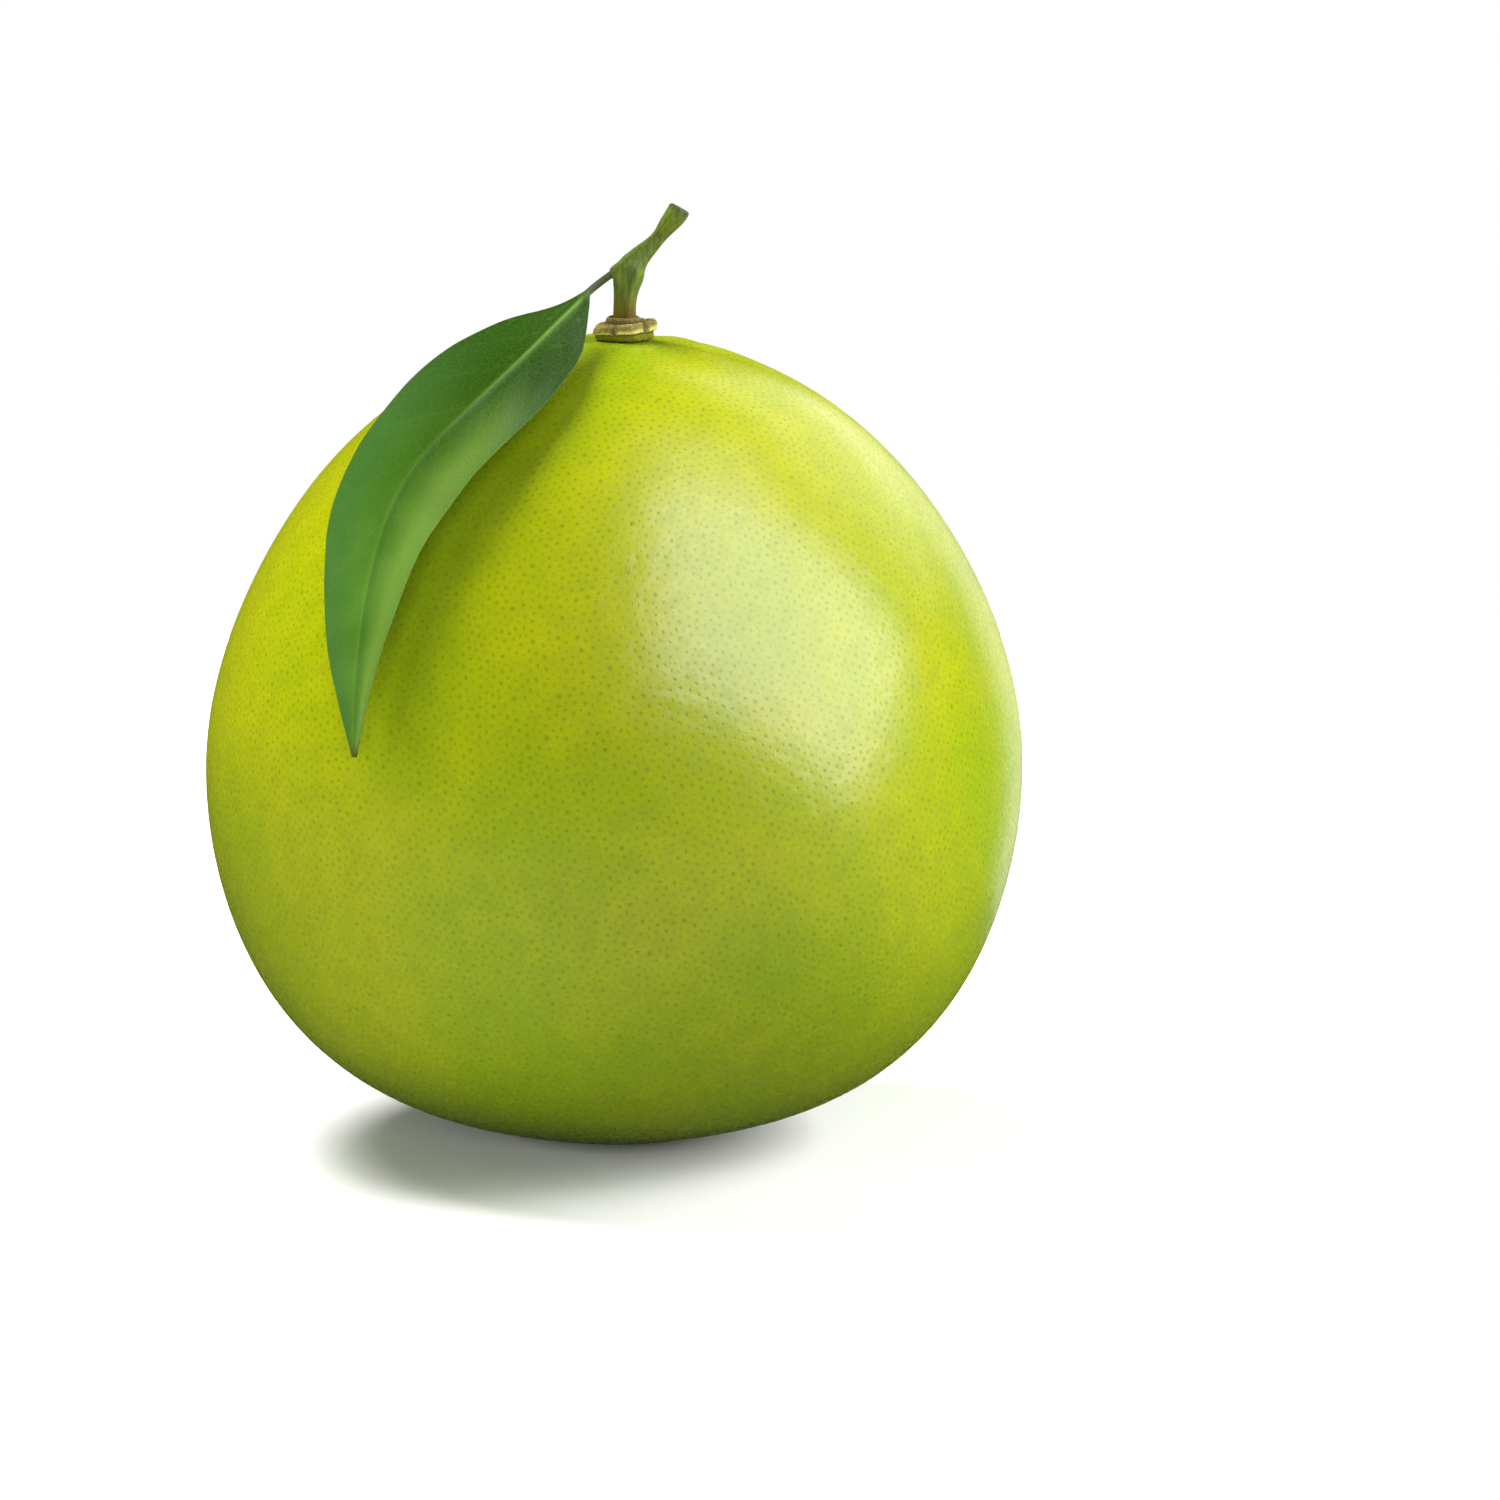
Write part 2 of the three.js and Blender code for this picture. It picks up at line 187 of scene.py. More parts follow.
def along(rows, x, column=1):
    """The values at x of a smooth line through rows that start with x, read from their given column."""
    rows = np.asarray(rows, float)
    at, value = rows[:, 0], rows[:, column]
    last = len(rows) - 1
    low, high = np.maximum(np.arange(last + 1) - 1, 0), np.minimum(np.arange(last + 1) + 1, last)
    slope = (value[high] - value[low]) / (at[high] - at[low])
    end = np.clip(np.searchsorted(at, x, side="left"), 1, last)
    span = at[end] - at[end - 1]
    t = np.clip((x - at[end - 1]) / span, 0, 1)
    bend = value[end - 1] - value[end]
    leaving = slope[end - 1] * span + bend
    arriving = -slope[end] * span - bend
    return value[end - 1] - bend * t + t * (1 - t) * ((1 - t) * leaving + t * arriving)


def unit(vectors):
    return vectors / np.linalg.norm(vectors, axis=-1, keepdims=True)


def smooth_curve(points, shares, samples=400):
    """Places and directions at shares of the length of a centripetal curve through points."""
    p = np.asarray(points, float)
    p = np.vstack([2 * p[0] - p[1], p, 2 * p[-1] - p[-2]])
    gaps = np.sqrt(np.linalg.norm(np.diff(p, axis=0), axis=1))
    spans = len(p) - 3
    t = np.linspace(0, spans, samples * spans + 1)[:-1]
    k = np.minimum(t.astype(int), spans - 1)
    t = (t - k)[:, None]
    before, here, after = gaps[k][:, None], gaps[k + 1][:, None], gaps[k + 2][:, None]
    p0, p1, p2, p3 = p[k], p[k + 1], p[k + 2], p[k + 3]
    m1 = ((p1 - p0) / before - (p2 - p0) / (before + here) + (p2 - p1) / here) * here
    m2 = ((p2 - p1) / here - (p3 - p1) / (here + after) + (p3 - p2) / after) * here
    fine = (2 * p1 - 2 * p2 + m1 + m2) * t**3 + (3 * p2 - 3 * p1 - 2 * m1 - m2) * t**2 + m1 * t + p1
    fine = np.vstack([fine, p[-2]])
    run = np.concatenate([[0], np.cumsum(np.linalg.norm(np.diff(fine, axis=0), axis=1))])
    shares = np.asarray(shares, float)

    def place(share):
        share = np.clip(share, 0, 1) * run[-1]
        return np.stack([np.interp(share, run, fine[:, axis]) for axis in range(3)], -1)

    step = 2e-3
    return place(shares), unit(place(shares + step) - place(shares - step))


def shares_along(points):
    steps = np.linalg.norm(np.diff(np.asarray(points, float), axis=0), axis=1)
    run = np.concatenate([[0], np.cumsum(steps)])
    return run / run[-1]


def mesh_piece(name, points, faces, material, **marks):
    """A smooth piece from points in millimetres, with one number a point under each mark's name."""
    mesh = bpy.data.meshes.new(name)
    mesh.from_pydata((np.asarray(points) * MM).tolist(), [], [list(map(int, face)) for face in faces])
    for mark, values in marks.items():
        layer = mesh.attributes.new(mark, "FLOAT", "POINT")
        layer.data.foreach_set("value", np.asarray(values, np.float32))
    mesh.shade_smooth()
    mesh.update()
    piece = bpy.data.objects.new(name, mesh)
    bpy.context.scene.collection.objects.link(piece)
    mesh.materials.append(material)
    return piece


def ring_faces(rings, sides, start=0):
    """Quads between rings of points, each ring counter-clockwise seen from the far end."""
    faces = []
    for i in range(rings - 1):
        for j in range(sides):
            k = (j + 1) % sides
            a, b = start + i * sides, start + (i + 1) * sides
            faces.append([a + j, a + k, b + k, b + j])
    return faces


# ---------------------------------------------------------------- helpers for materials


def srgb(red, green, blue):
    """A colour given as it shows on a screen, 0 to 255, as Blender's own linear one."""
    return [((c / 255 + 0.055) / 1.055) ** 2.4 if c > 10 else c / 255 / 12.92 for c in (red, green, blue)] + [1]


class Nodes:
    """Short-hand for building one material."""

    def __init__(self, name):
        self.material = bpy.data.materials.new(name)
        self.material.use_nodes = True
        self.tree = self.material.node_tree
        self.tree.nodes.clear()
        self.shader = self.tree.nodes.new("ShaderNodeBsdfPrincipled")
        output = self.tree.nodes.new("ShaderNodeOutputMaterial")
        self.join(self.shader.outputs["BSDF"], output.inputs["Surface"])
        self.place = self.tree.nodes.new("ShaderNodeTexCoord").outputs["Object"]

    def join(self, source, socket):
        if isinstance(source, bpy.types.NodeSocket):
            self.tree.links.new(source, socket)
        else:
            socket.default_value = source

    def mark(self, name):
        node = self.tree.nodes.new("ShaderNodeAttribute")
        node.attribute_name = name
        return node.outputs["Fac"]

    def noise(self, size, detail=2, rough=0.5, place=None, warp=0):
        """Noise whose lumps are about that many millimetres across."""
        node = self.tree.nodes.new("ShaderNodeTexNoise")
        self.join(place or self.place, node.inputs["Vector"])
        for socket, value in (("Scale", 1 / (size * MM)), ("Detail", detail), ("Roughness", rough), ("Distortion", warp)):
            node.inputs[socket].default_value = value
        return node.outputs["Fac"]

    def cells(self, size, feature="F1", place=None):
        node = self.tree.nodes.new("ShaderNodeTexVoronoi")
        node.feature = feature
        self.join(place or self.place, node.inputs["Vector"])
        node.inputs["Scale"].default_value = 1 / (size * MM)
        return node.outputs["Distance"]

    def stretched(self, scales):
        node = self.tree.nodes.new("ShaderNodeMapping")
        self.join(self.place, node.inputs["Vector"])
        node.inputs["Scale"].default_value = scales
        return node.outputs["Vector"]

    def sum(self, kind, a, b=0.0):
        node = self.tree.nodes.new("ShaderNodeMath")
        node.operation = kind
        self.join(a, node.inputs[0])
        self.join(b, node.inputs[1])
        return node.outputs["Value"]

    def ranged(self, value, low, high, to_low=0.0, to_high=1.0):
        node = self.tree.nodes.new("ShaderNodeMapRange")
        node.interpolation_type = "SMOOTHSTEP"
        self.join(value, node.inputs["Value"])
        sockets = ("From Min", "From Max", "To Min", "To Max")
        for socket, number in zip(sockets, (low, high, to_low, to_high)):
            node.inputs[socket].default_value = number
        return node.outputs["Result"]

    def mix(self, share, first, second):
        node = self.tree.nodes.new("ShaderNodeMix")
        node.data_type = "RGBA"
        self.join(share, node.inputs["Factor"])
        self.join(first, node.inputs[6])
        self.join(second, node.inputs[7])
        return node.outputs[2]

    def bump(self, height, distance, normal=None):
        node = self.tree.nodes.new("ShaderNodeBump")
        node.inputs["Distance"].default_value = distance * MM
        self.join(height, node.inputs["Height"])
        if normal:
            self.join(normal, node.inputs["Normal"])
        return node.outputs["Normal"]

    def finish(self, colour, roughness, normal=None, **constants):
        self.join(colour, self.shader.inputs["Base Color"])
        self.join(roughness, self.shader.inputs["Roughness"])
        if normal:
            self.join(normal, self.shader.inputs["Normal"])
        for socket, value in constants.items():
            self.shader.inputs[socket.replace("_", " ")].default_value = value
        return self.material


# ---------------------------------------------------------------- materials


def rind_material():
    """Waxy yellow-green skin: slow blotches, darker pores, greener at the stem, a painted shadow beside the leaf,
    brown on the flower's scar.
    """
    m = Nodes("rind")
    ripe = m.sum("ADD", m.mark("ripe"), m.ranged(m.noise(34, 3, 0.55), 0.3, 0.7, -0.22, 0.22))
    colour = m.mix(m.ranged(ripe, -0.1, 1.1), srgb(126, 154, 4), srgb(162, 167, 2))
    mottle = m.ranged(m.noise(5, 4, 0.6), 0.35, 0.7, 0, 0.25)
    colour = m.mix(mottle, colour, srgb(118, 138, 4))
    tan = m.ranged(m.noise(19, 3, 0.6, warp=0.8), 0.6, 0.78, 0, 0.22)
    colour = m.mix(tan, colour, srgb(142, 130, 34))
    colour = m.mix(m.sum("MULTIPLY", m.mark("stem"), 0.25), colour, srgb(112, 140, 14))
    # painted shadow: greener and darker beside the leaf, where its shadow falls on the rind
    colour = m.mix(m.sum("MULTIPLY", m.mark("painted_leaf_shadow"), 0.4), colour, srgb(92, 138, 4))
    pore = m.ranged(m.mark("pore"), 0.08, 0.62, 0.5, 0)
    colour = m.mix(pore, colour, srgb(76, 100, 2))
    freckle = m.ranged(m.cells(7.5), 0.05, 0.09, 0.3, 0)
    colour = m.mix(freckle, colour, srgb(98, 86, 24))
    colour = m.mix(m.mark("scar"), colour, m.mix(m.noise(0.7, 3), srgb(84, 62, 30), srgb(140, 112, 60)))
    height = m.sum("ADD", m.ranged(m.mark("pore"), 0, 0.55), m.sum("MULTIPLY", m.noise(0.5, 3), 0.35))
    roughness = m.ranged(m.noise(2.5, 3), 0.3, 0.7, 0.25, 0.31)
    wax = {"IOR": 1.6, "Specular_IOR_Level": 1, "Subsurface_Weight": 0.05, "Subsurface_Scale": 0.003}
    return m.finish(colour, roughness, m.bump(height, 0.03), **wax)


def calyx_material():
    """Dry sepals: tan-green with fine streaks, pale on the rim's edge and painted paler still on its lit side, dark
    brown in the creases.
    """
    m = Nodes("calyx")
    grain = m.noise(0.5, 4, 0.65)
    colour = m.mix(m.ranged(grain, 0.3, 0.7), srgb(96, 84, 38), srgb(146, 132, 74))
    blotch = m.ranged(m.noise(3, 3), 0.4, 0.65)
    colour = m.mix(blotch, colour, srgb(122, 114, 52))
    crack = m.ranged(m.cells(1.1, "DISTANCE_TO_EDGE", m.stretched([1, 1, 0.45])), 0, 0.09, 0.45, 0)
    colour = m.mix(crack, colour, srgb(82, 62, 26))
    colour = m.mix(m.mark("neck"), colour, srgb(104, 106, 8))
    # the rim's pale edge: partly its own colour all round, partly painted light on its lit side
    colour = m.mix(m.mark("edge"), colour, srgb(196, 186, 100))
    colour = m.mix(m.mark("crease"), colour, srgb(74, 56, 20))
    normal = m.bump(grain, 0.12, m.bump(m.sum("MULTIPLY", crack, -1), 0.12))
    return m.finish(colour, m.ranged(grain, 0.3, 0.7, 0.55, 0.75), normal)


def twig_material():
    """Olive bark with long streaks and small pale specks, browner at its foot, grey-green at the cut."""
    m = Nodes("twig")
    streak = m.noise(0.7, 4, 0.6, place=m.stretched([1, 1, 0.16]))
    colour = m.mix(m.ranged(streak, 0.3, 0.7), srgb(70, 86, 32), srgb(96, 112, 42))
    colour = m.mix(m.ranged(m.noise(4, 2), 0.45, 0.7, 0, 0.6), colour, srgb(108, 126, 24))
    speck = m.ranged(m.cells(1.6), 0.1, 0.2, 0.25, 0)
    colour = m.mix(speck, colour, srgb(134, 134, 78))
    colour = m.mix(m.mark("foot"), colour, srgb(88, 76, 12))
    colour = m.mix(m.mark("joint"), colour, srgb(64, 60, 34))
    wood = m.mix(m.ranged(m.noise(0.35, 4), 0.3, 0.7), srgb(46, 52, 40), srgb(84, 90, 70))
    colour = m.mix(m.mark("cut"), colour, wood)
    normal = m.bump(streak, 0.05, m.bump(m.noise(0.3, 3), 0.015))
    return m.finish(colour, m.ranged(streak, 0.3, 0.7, 0.45, 0.62), normal)


def leaf_material():
    """Leathery green, glossy above and paler and duller below, with lighter veins and a fine net of them, and with a
    painted sheen and a painted shade on the upper side.
    """
    m = Nodes("leaf")
    net = m.cells(1.3, "DISTANCE_TO_EDGE")
    upper = m.mix(m.ranged(m.noise(16, 3), 0.35, 0.65), srgb(64, 106, 28), srgb(80, 120, 40))
    upper = m.mix(m.ranged(m.mark("base"), 0, 1, 0, 0.95), upper, srgb(32, 62, 2))
    # painted shade: the blade's front half is painted darker near the stalk
    upper = m.mix(m.sum("MULTIPLY", m.mark("painted_shade"), 0.48), upper, srgb(12, 32, 0))
    # painted sheen: a paler band along the blade's right half, where light falls on it
    upper = m.mix(m.sum("MULTIPLY", m.mark("pale"), 0.55), upper, srgb(124, 160, 62))
    upper = m.mix(m.sum("MULTIPLY", m.mark("edge"), 0.6), upper, srgb(58, 98, 46))
    upper = m.mix(m.ranged(net, 0, 0.1, 0.14, 0), upper, srgb(84, 124, 40))
    lower = m.mix(m.ranged(m.noise(14, 3), 0.35, 0.65), srgb(96, 134, 66), srgb(120, 152, 84))
    lower = m.mix(m.ranged(net, 0, 0.12, 0.4, 0), lower, srgb(74, 116, 52))
    colour = m.mix(m.mark("under"), upper, lower)
    veins = m.mix(m.mark("under"), srgb(112, 148, 62), srgb(168, 184, 112))
    colour = m.mix(m.sum("MULTIPLY", m.mark("vein"), 0.6), colour, veins)
    colour = m.mix(m.mark("stalk"), colour, srgb(70, 84, 48))
    colour = m.mix(m.mark("tip"), colour, srgb(78, 78, 34))
    height = m.sum("ADD", m.ranged(net, 0, 0.14), m.sum("MULTIPLY", m.noise(0.6, 3), 0.4))
    rough = m.sum("ADD", m.sum("MULTIPLY", m.mark("under"), 0.2), m.ranged(m.noise(6, 3), 0.3, 0.7, 0.38, 0.46))
    constants = {"Specular_IOR_Level": 0.32, "Subsurface_Weight": 0.05, "Subsurface_Scale": 0.002}
    return m.finish(colour, rough, m.bump(height, 0.03), **constants)


def floor_material():
    """Plain and pale to the eye, and darker as a source of light from below."""
    m = Nodes("floor")
    seen = m.tree.nodes.new("ShaderNodeLightPath").outputs["Is Camera Ray"]
    return m.finish(m.mix(seen, srgb(172, 172, 172), srgb(246, 246, 246)), 0.9, Specular_IOR_Level=0.1)


# ---------------------------------------------------------------- fruit


def meridian(angle):
    """Distance from the axis and height over the widest ring, at an angle down from the stem end."""
    sine, cosine = np.sin(angle), np.cos(angle)
    slim = np.where(cosine > 0, SHOULDER_SLIM * np.sin(2 * angle) ** 2, 0)
    drop = np.where(cosine < 0, BASE_DROP * cosine**2, 0)
    return FRUIT_RADIUS * sine * (1 - slim), (SEMI_HEIGHT - drop) * cosine


def relief(points):
    """How far the rind stands out at points of the plain body, as the solid has it."""
    x, y, z = points.T
    from_axis = np.hypot(x, y)
    directions = unit(points)
    swell = sum(h * np.sin(waves * (directions @ np.array(d)) + turn) for h, waves, d, turn in SWELLS)
    swell = swell * smooth(from_axis, SWELL_FREE, SWELL_FREE + SWELL_FADE)
    around = np.arctan2(y, x - STEM_X)
    uneven = np.sin(FURROWS * around + FURROW_UNEVEN * np.sin(2 * around))
    from_stem = np.hypot(x - STEM_X, y)
    furrow = FURROW_DEPTH * uneven * np.exp(-(((from_stem - FURROW_AT) / FURROW_SPREAD) ** 2))
    dimple = DIMPLE_DEPTH * np.exp(-((from_stem / DIMPLE_RADIUS) ** 2))
    return swell + np.where(z < 0, 0, smooth(from_stem, CALYX_RADIUS, FURROW_AT) * furrow - dimple)


def rind_points(angle, around, sunk):
    """Points of the rind at angles down from the stem end and round the axis, sunk by so much."""
    radius, height = meridian(angle)
    points = np.stack([radius * np.cos(around), radius * np.sin(around), height], -1)
    on_foot = height <= -WIDEST_HEIGHT
    points[:, 2] = np.maximum(points[:, 2], -WIDEST_HEIGHT)
    out = np.where(on_foot, 0, relief(points) - SKIN_UNDER)
    points += unit(points) * out[:, None]
    points -= np.where(on_foot[:, None], [[0, 0, -1]], unit(points)) * sunk[:, None]
    return points + [0, 0, WIDEST_HEIGHT]


def pore_angles(rng):
    """Angles down and round of the pores, evenly spread but strayed, and of the ring round the scar."""
    count = np.arange(PORES) + 0.5
    down, around = np.arccos(1 - 2 * count / PORES), count * math.pi * (3 - math.sqrt(5))
    way = np.stack([np.sin(down) * np.cos(around), np.sin(down) * np.sin(around), np.cos(down)], -1)
    way = unit(way + rng.uniform(-1, 1, way.shape) * PORE_SPACING * PORE_STRAY)
    down, around = angles_of(way)
    last = math.pi - math.asin(SCAR_RADIUS / FRUIT_RADIUS)
    kept = down < last - 0.6 * PORE_SPACING
    ring = np.linspace(0, 2 * math.pi, SCAR_SIDES, endpoint=False)
    return np.concatenate([down[kept], np.full(SCAR_SIDES, last)]), np.concatenate([around[kept], ring])


def angles_of(way):
    """Angles down from the stem end and round the axis of directions from the fruit's middle."""
    return np.arctan2(np.hypot(way[:, 0], way[:, 1]), way[:, 2]), np.arctan2(way[:, 1], way[:, 0])


def cell_middles(triangles, corners, way):
    """Where each pore's pit is deepest: amid its cell's corners. The ring round the scar stays in place."""
    total = np.zeros_like(way)
    np.add.at(total, triangles.ravel(), np.repeat(corners, 3, axis=0))
    return np.vstack([unit(total[:-SCAR_SIDES]), way[-SCAR_SIDES:]])


def nearest_gaps(triangles, way):
    """How far each pore is from its nearest neighbour, as a share of the usual spacing."""
    gaps = np.full(len(way), np.inf)
    for first, second in ((0, 1), (1, 2), (2, 0)):
        starts, ends = triangles[:, first], triangles[:, second]
        length = np.linalg.norm(way[starts] - way[ends], axis=1) / PORE_SPACING
        np.minimum.at(gaps, starts, length)
        np.minimum.at(gaps, ends, length)
    return gaps


def cell_faces(triangles, pores):
    """Triangles from each pore to the rim of its cell, whose corners are the middles of the given triangles."""
    starts = triangles[:, [0, 1, 2]].ravel()
    ends = triangles[:, [1, 2, 0]].ravel()
    owner = np.repeat(np.arange(len(triangles)), 3) + pores
    across = {}
    faces = []
    for start, end, middle in zip(starts.tolist(), ends.tolist(), owner.tolist()):
        other = across.pop((end, start), None)
        if other is None:
            across[(start, end)] = middle
        else:
            faces.append([start, other, middle])
            faces.append([end, middle, other])
    faces.extend([start, end, middle] for (start, end), middle in across.items())
    return faces


def scar():
    """The flower's scar: the points inside its outermost ring, ring after ring and then the middle."""
    around = np.linspace(0, 2 * math.pi, SCAR_SIDES, endpoint=False)
    uneven = 1 + 0.09 * np.sin(3 * around + 1) + 0.06 * np.sin(5 * around)
    rings = []
    for radius, height in SCAR_STEPS[1:]:
        flat = np.full(SCAR_SIDES, height)
        rings.append(np.stack([radius * uneven * np.cos(around), radius * uneven * np.sin(around), flat], -1))
    return np.vstack(rings + [[[0, 0, 0.3]]])


def fruit_piece():
    rng = np.random.default_rng(SEED)
    down, around = pore_angles(rng)
    pores = len(down)
    spread = np.tan(down / 2)
    flat = [Vector(p) for p in zip(spread * np.cos(around), spread * np.sin(around))]
    triangles = np.array(delaunay_2d_cdt(flat, [], [], 0, 1e-9, True)[2])
    way = np.stack([np.sin(down) * np.cos(around), np.sin(down) * np.sin(around), np.cos(down)], -1)
    middle = unit(way[triangles].sum(axis=1))
    depth = rng.uniform(*PORE_DEPTHS, pores)
    depth[-SCAR_SIDES:] = 0
    depth *= smooth(down * FRUIT_RADIUS, PORE_FREE, PORE_FREE + 3)
    depth *= smooth(nearest_gaps(triangles, way), 0.25, 0.85)
    rim_sink = rng.uniform(0, 0.03, len(middle))
    pits = rind_points(*angles_of(cell_middles(triangles, middle, way)), depth)
    points = np.vstack([pits, rind_points(*angles_of(middle), rim_sink)])
    faces = cell_faces(triangles, pores)
    scar_points = scar()
    first = len(points)
    ring = list(range(pores - SCAR_SIDES, pores))
    previous = ring
    for i in range(len(SCAR_STEPS) - 1):
        inner = [first + i * SCAR_SIDES + j for j in range(SCAR_SIDES)]
        for j in range(SCAR_SIDES):
            k = (j + 1) % SCAR_SIDES
            faces.append([previous[k], previous[j], inner[j]])
            faces.append([previous[k], inner[j], inner[k]])
        previous = inner
    tip = first + len(scar_points) - 1
    for j in range(SCAR_SIDES):
        faces.append([previous[(j + 1) % SCAR_SIDES], previous[j], tip])
    points = np.vstack([points, scar_points])
    from_stem = np.hypot(points[:, 0] - STEM_X, points[:, 1])
    upper = points[:, 2] > WIDEST_HEIGHT
    pore = np.ones(len(points))
    pore[: pores - SCAR_SIDES] = rng.uniform(0, 0.22, pores - SCAR_SIDES)
    from_foot = np.hypot(points[:, 0], points[:, 1])
    on_scar = np.where(upper, 0, 1 - smooth(from_foot, 1.9, 3.2))
    pore = np.maximum(pore, on_scar)
    stem = np.where(upper, 1 - smooth(from_stem, 5, 24), 0)
    facing = unit(points - [0, 0, WIDEST_HEIGHT])
    ripe = 0.5 + 0.5 * facing @ unit(np.array(RIPEST))
    # painted shadow: a line offset from the leaf's midrib to where its shadow falls on the rind
    line = smooth_curve(RIB, np.linspace(0.05, 0.9, 40))[0] + LEAF_SHADOW_AT
    to_shadow_line = np.min([np.linalg.norm(points - place, axis=1) for place in line], axis=0)
    marks = {"pore": pore, "stem": stem, "ripe": ripe, "scar": on_scar, "painted_leaf_shadow": 1 - smooth(to_shadow_line, *PAINTED_SHADOW_REACH)}
    return mesh_piece("fruit_rind", points, faces, rind_material(), **marks)


# ---------------------------------------------------------------- calyx

# The calyx's outline: [share of the radius, height, neck, edge, crease], the last three for its colours
CALYX_OUTLINE = [
    [0.0, -0.45, 1, 0, 0],
    [0.6, -0.45, 1, 0, 0.6],
    [0.84, -0.1, 1, 0, 0.2],
    [0.91, 0.5, 1, 0, 0],
    [0.9, 1.05, 1, 0, 0.3],
    [0.92, 1.25, 0.5, 0, 0.8],
    [0.985, 1.42, 0, 0.8, 0],
    [1.0, 1.75, 0, 1, 0],
    [0.995, 2.25, 0, 0, 0],
    [0.96, 2.8, 0, 0, 0],
    [0.88, 3.15, 0, 0.3, 0],
    [0.78, 3.2, 0, 0, 0],
    [0.64, 3.05, 0, 0, 0.5],
    [0.585, 3.2, 0, 0, 0.9],
    [0.55, 3.9, 0, 0, 0.4],
    [0.5, 4.2, 0, 0, 0.3],
    [0.46, 4.22, 0, 0, 0.8],
    [0.44, 3.3, 0, 0, 1],
    [0.0, 3.2, 0, 0, 1],
]
NOTCH_DEPTH = 0.5
NOTCH_WIDTH = 0.13  # radians
PAINTED_LIGHT_TURN = -0.9  # painted light: the rim's edge is painted palest on this side, where light falls, in radians from +X


def calyx_piece():
    outline = np.array(CALYX_OUTLINE)
    at = np.linspace(0, len(outline) - 1, CALYX_RINGS)
    rows = np.column_stack([np.arange(len(outline)), outline])
    share, height, neck, edge, crease = (along(rows, at, column) for column in range(1, 6))
    share = np.maximum(share, 0)
    around = np.linspace(0, 2 * math.pi, CALYX_SIDES, endpoint=False)
    turn = around[None, :]
    radius = np.repeat(share[:, None] * CALYX_RADIUS, CALYX_SIDES, 1)
    outer = smooth(radius, SOCKET_RADIUS + COLLAR, CALYX_RADIUS)
    lobe = LOBE_DEPTH * np.cos(CALYX_LOBES * turn + 0.5) + CALYX_OVAL * np.cos(2 * turn + 1)
    to_notch = np.mod(CALYX_LOBES * turn + 0.5 + 0.35 * np.sin(turn), 2 * math.pi) - math.pi
    notch = np.exp(-((to_notch / CALYX_LOBES / NOTCH_WIDTH) ** 2)) * outer * (1 - neck[:, None])
    level = height[:, None]
    wrinkle = 0.05 * np.sin(23 * turn + 3 * np.sin(3 * turn) + 2 * level)
    wrinkle = wrinkle + 0.04 * np.sin(41 * turn + 2.2 * np.cos(5 * turn) - 3 * level)
    wrinkle = wrinkle + 0.03 * np.sin(9 * level + 2.4 * np.sin(4 * turn) + np.cos(11 * turn))
    grow = radius * (1 + outer * lobe) + (wrinkle - NOTCH_DEPTH * notch) * smooth(radius, 2.9, 4)
    x, y = grow * np.cos(turn), grow * np.sin(turn)
    lift = level + outer * CALYX_TILT * x * np.maximum(level, 0)
    lift = lift - 0.25 * notch + 0.05 * np.sin(9 * turn + 1.7 * radius) * outer * (1 - neck[:, None])
    points = np.stack([STEM_X + x, y, CALYX_UNDERSIDE + lift], -1).reshape(-1, 3)
    faces = ring_faces(CALYX_RINGS, CALYX_SIDES)
    # painted light: the rim's pale edge is full on the side where light falls and a quarter as strong on the far
    # side
    painted_lit_side = lerp(0.25, 1, smooth(np.cos(turn - PAINTED_LIGHT_TURN), -0.4, 0.7))
    marks = {
        "neck": np.repeat(neck, CALYX_SIDES),
        "edge": (np.clip(edge, 0, 1)[:, None] * (1 - notch) * painted_lit_side).ravel(),
        "crease": np.clip(crease[:, None] + 0.5 * notch, 0, 1).ravel(),
    }
    return mesh_piece("calyx_sepals", points, faces, calyx_material(), **marks)


# ---------------------------------------------------------------- twig


def on_calyx(points):
    return np.asarray(points, float)[:, :3] + [STEM_X, 0, CALYX_UNDERSIDE]


def frames_along(directions):
    """Two sides of each direction, the first level with +Y's other side, that turn with them."""
    first = unit(np.cross([0, 1, 0], directions))
    return first, np.cross(directions, first)


def closed_tube(places, directions, radii):
    """Points and faces of a round closed tube."""
    first, second = frames_along(directions)
    turn = np.linspace(0, 2 * math.pi, TWIG_SIDES, endpoint=False)[None, :, None]
    rings = places[:, None] + (first[:, None] * np.cos(turn) + second[:, None] * np.sin(turn)) * radii[:, None, None]
    count = len(places)
    points = np.vstack([rings.reshape(-1, 3), places[:1], places[-1:]])
    faces = ring_faces(count, TWIG_SIDES)
    start, end, last = count * TWIG_SIDES, count * TWIG_SIDES + 1, (count - 1) * TWIG_SIDES
    for j in range(TWIG_SIDES):
        k = (j + 1) % TWIG_SIDES
        faces.append([start, k, j])
        faces.append([end, last + j, last + k])
    return points, faces


def stub(shape):
    low, high = on_calyx([shape["from"]])[0], on_calyx([shape["to"]])[0]
    share = np.linspace(0, 1, 16)
    rounded = np.concatenate([share, [1.06, 1.1]])
    wide, narrow = shape["radii"]
    radii = np.concatenate([lerp(wide, narrow, share**1.5), [narrow * 0.8, narrow * 0.4]])
    places = low + (high - low) * rounded[:, None]
    directions = np.repeat(unit((high - low)[None]), len(places), 0)
    return closed_tube(places, directions, radii)


